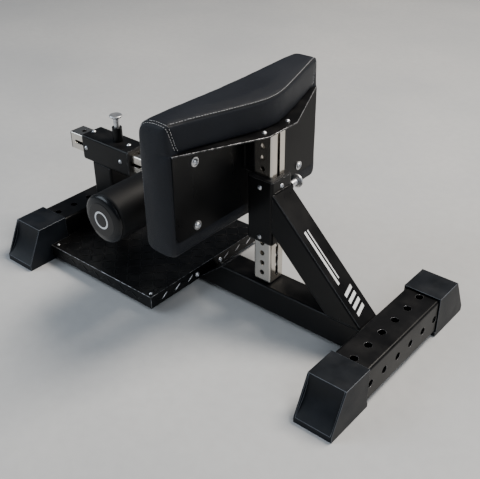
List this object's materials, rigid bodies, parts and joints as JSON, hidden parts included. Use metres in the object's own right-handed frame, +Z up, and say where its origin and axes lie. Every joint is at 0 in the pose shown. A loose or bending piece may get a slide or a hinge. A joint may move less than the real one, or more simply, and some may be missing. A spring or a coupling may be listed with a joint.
{
  "type": "hip thrust machine",
  "caption": "Low hip thrust bench with a height-set back pad, a reach-set pair of foam rollers on a sliding bar, a tread-plate foot platform and rubber-footed cross tubes.",
  "frame": {"origin": "centre of the footprint, on the floor under the rubber feet", "axes": "+X along the rail towards the pad end's cross tube, +Y to the left along the cross tubes, +Z up"},
  "size_m": [0.958, 0.5114, 0.499],
  "materials": {
    "frame_paint": "satin",
    "tread_paint": "satin",
    "foot_rubber": "matte",
    "tube_chrome": "polished",
    "zinc_steel": "satin",
    "pin_steel": "satin",
    "liner_plastic": "matte",
    "cap_plastic": "satin",
    "roller_foam": "satin",
    "pad_board_wood": "matte",
    "pad_vinyl": "satin"
  },
  "bodies": {
    "frame": {"rear_cross_tube": "frame_paint", "front_cross_tube": "frame_paint", "rear_left_foot": "foot_rubber", "rear_right_foot": "foot_rubber", "front_left_foot": "foot_rubber", "front_right_foot": "foot_rubber", "centre_rail": "frame_paint", "platform_spine": "frame_paint", "foot_platform": "tread_paint", "platform_bolts": "zinc_steel", "platform_corner_screws": "zinc_steel", "front_post": "frame_paint", "front_sleeve": "frame_paint", "front_sleeve_front_liner": "liner_plastic", "front_sleeve_rear_liner": "liner_plastic", "front_set_screws": "zinc_steel", "roller_stop_screw": "zinc_steel", "reach_pin_barrel": "frame_paint", "reach_pin_spring": "zinc_steel", "upright_brace": "frame_paint", "upright_sleeve": "frame_paint", "upper_liner": "liner_plastic", "lower_liner": "liner_plastic", "upright_set_screws": "zinc_steel", "post_stop_screw": "zinc_steel", "height_pin_barrel": "frame_paint", "height_pin_spring": "zinc_steel"},
    "pad_carriage": {"pad_post": "tube_chrome", "post_bottom_plug": "liner_plastic", "pad_plate": "frame_paint", "pad_spacer": "frame_paint", "pad_board": "pad_board_wood", "pad_cushion": "pad_vinyl", "pad_bolts": "zinc_steel", "pad_washers": "zinc_steel", "pad_tee_nuts": "zinc_steel", "flange_screws": "zinc_steel"},
    "roller_carriage": {"roller_bar": "tube_chrome", "roller_bar_front_plug": "liner_plastic", "roller_bar_rear_plug": "liner_plastic", "roller_axle": "zinc_steel", "axle_spacers": "zinc_steel", "axle_washers": "zinc_steel", "axle_screws": "zinc_steel"},
    "left_roller": {"left_roller_foam": "roller_foam", "left_roller_core": "liner_plastic", "left_roller_bushes": "liner_plastic", "left_roller_outer_cap": "cap_plastic", "left_roller_inner_cap": "liner_plastic"},
    "right_roller": {"right_roller_foam": "roller_foam", "right_roller_core": "liner_plastic", "right_roller_bushes": "liner_plastic", "right_roller_outer_cap": "cap_plastic", "right_roller_inner_cap": "liner_plastic"},
    "height_pin": {"height_pin_plunger": "pin_steel", "height_pin_knob": "pin_steel"},
    "reach_pin": {"reach_pin_plunger": "pin_steel", "reach_pin_knob": "pin_steel"}
  },
  "joints": [
    {"name": "pad_height", "type": "slide", "parent": "frame", "child": "pad_carriage", "axis": [0, 0, 1], "range_m": [0, 0.175]},
    {"name": "roller_reach", "type": "slide", "parent": "frame", "child": "roller_carriage", "axis": [1, 0, 0], "range_m": [-0.1, 0.025]},
    {"name": "left_roller_spin", "type": "hinge", "parent": "roller_carriage", "child": "left_roller", "pos_m": [-0.1206, 0.135, 0.238], "axis": [0, 1, 0], "continuous": true},
    {"name": "right_roller_spin", "type": "hinge", "parent": "roller_carriage", "child": "right_roller", "pos_m": [-0.1206, -0.135, 0.238], "axis": [0, 1, 0], "continuous": true},
    {"name": "height_pin_pull", "type": "slide", "parent": "frame", "child": "height_pin", "axis": [0, 1, 0], "range_m": [-0.008, 0.003], "stiffness_N_per_m": 800, "springref_m": -0.02, "deforming": ["height_pin_spring"]},
    {"name": "reach_pin_pull", "type": "slide", "parent": "frame", "child": "reach_pin", "axis": [0, 0, 1], "range_m": [-0.008, 0.003], "stiffness_N_per_m": 800, "springref_m": -0.02, "deforming": ["reach_pin_spring"]}
  ]
}
